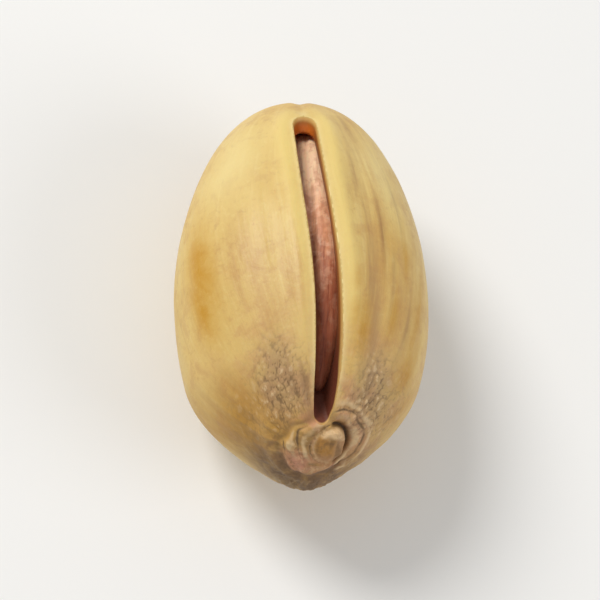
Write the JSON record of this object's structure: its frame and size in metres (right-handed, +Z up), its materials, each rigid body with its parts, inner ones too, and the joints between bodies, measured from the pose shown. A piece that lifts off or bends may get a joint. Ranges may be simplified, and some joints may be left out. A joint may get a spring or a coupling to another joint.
{
  "type": "pistachio in shell",
  "caption": "Roasted pistachio in its open shell: an egg-shaped woody shell, split along one seam, with the kernel loose inside.",
  "frame": {"origin": "centre of the bounding box at its bottom, which is the plane of the small flat on the nut's back", "axes": "+Y along the nut from the stem scar to the tip, +Z up out of the split, +X across the two halves"},
  "size_m": [0.0126, 0.02, 0.0118],
  "materials": {
    "shell_wood": "satin",
    "kernel_skin": "satin"
  },
  "bodies": {
    "root": {"shell": "shell_wood", "kernel": "kernel_skin"}
  },
  "joints": []
}
